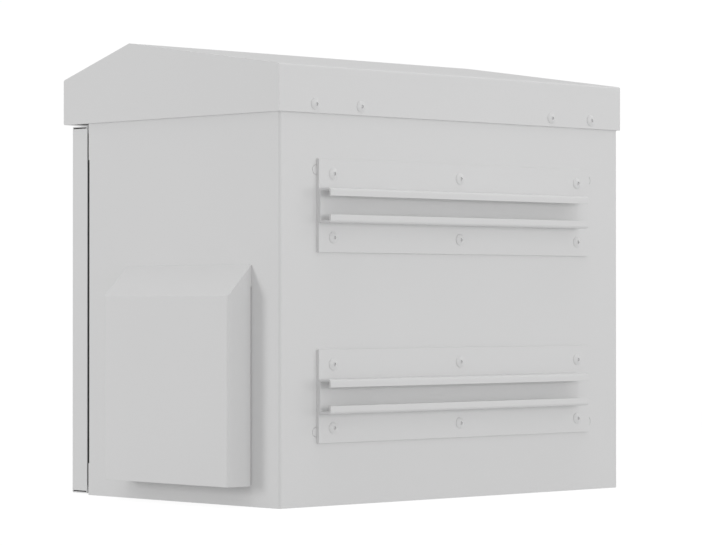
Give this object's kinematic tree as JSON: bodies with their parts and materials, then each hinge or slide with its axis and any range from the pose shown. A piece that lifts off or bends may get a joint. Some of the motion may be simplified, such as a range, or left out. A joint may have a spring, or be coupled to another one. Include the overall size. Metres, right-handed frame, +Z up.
{
  "type": "wall-mount rack cabinet",
  "caption": "Folded-sheet wall cabinet for rack equipment with a hinged door, gabled rain roof, side vent hood with fan, and slotted channel brackets on the back for hanging.",
  "frame": {"origin": "middle of the underside of the body", "axes": "+Z up, -Y out of the door, +Y to the wall, +X to the side with the vent hood"},
  "size_m": [0.6475, 0.4301, 0.5651],
  "materials": {
    "painted_sheet": "pale grey powder coat, satin",
    "painted_screws": "pale grey painted screw heads",
    "zinc_plate": "zinc-plated steel",
    "bright_steel": "turned steel",
    "fan_plastic": "black moulded plastic",
    "seal_rubber": "closed-cell black seal",
    "filter_fleece": "white filter fleece"
  },
  "bodies": {
    "cabinet": {"body_wrap": "painted_sheet", "base_pan": "painted_sheet", "top_pan": "painted_sheet", "roof_hood": "painted_sheet", "bracket_plate_upper": "painted_sheet", "bracket_plate_lower": "painted_sheet", "strut_channel_upper": "painted_sheet", "strut_channel_lower": "painted_sheet", "vent_hood": "painted_sheet", "gland_plate": "painted_sheet", "hole_plugs": "painted_sheet", "roof_screws": "painted_screws", "bracket_screws": "painted_screws", "roof_nuts": "zinc_plate", "bracket_nuts": "zinc_plate", "hood_screws": "zinc_plate", "fan_guard": "zinc_plate", "fan_screws": "zinc_plate", "fan_nuts": "zinc_plate", "bearer_left_upper": "zinc_plate", "bearer_left_lower": "zinc_plate", "bearer_right_upper": "zinc_plate", "bearer_right_lower": "zinc_plate", "rack_rail_left": "zinc_plate", "rack_rail_right": "zinc_plate", "rail_screws": "zinc_plate", "rail_nuts": "zinc_plate", "gland_screws": "zinc_plate", "hinge_body_leaves": "zinc_plate", "hinge_body_screws": "zinc_plate", "earth_stud": "bright_steel", "earth_nut": "bright_steel", "hinge_pins": "bright_steel", "filter_frame": "fan_plastic", "fan_frame": "fan_plastic", "gland_seal": "seal_rubber", "filter_mat": "filter_fleece"},
    "door": {"door_panel": "painted_sheet", "door_seal": "seal_rubber", "hinge_door_leaves": "zinc_plate", "hinge_door_screws": "zinc_plate", "latch_barrels": "zinc_plate", "latch_nuts": "zinc_plate"},
    "latch_upper": {"latch_rotor_upper": "bright_steel", "latch_cam_upper": "zinc_plate", "latch_screw_upper": "zinc_plate"},
    "latch_lower": {"latch_rotor_lower": "bright_steel", "latch_cam_lower": "zinc_plate", "latch_screw_lower": "zinc_plate"},
    "fan_rotor": {"fan_rotor": "fan_plastic"}
  },
  "joints": [
    {"name": "door_swing", "type": "hinge", "parent": "cabinet", "child": "door", "pos_m": [-0.305, -0.1805, 0.234], "axis": [0, 0, -1], "range_deg": [0, 170]},
    {"name": "latch_upper_turn", "type": "hinge", "parent": "door", "child": "latch_upper", "pos_m": [0.25, -0.179, 0.364], "axis": [0, -1, 0], "range_deg": [0, 90]},
    {"name": "latch_lower_turn", "type": "hinge", "parent": "door", "child": "latch_lower", "pos_m": [0.25, -0.179, 0.104], "axis": [0, -1, 0], "range_deg": [0, 90]},
    {"name": "fan_spin", "type": "hinge", "parent": "cabinet", "child": "fan_rotor", "pos_m": [0.2675, 0.0145, 0.156], "axis": [1, 0, 0], "continuous": true}
  ]
}
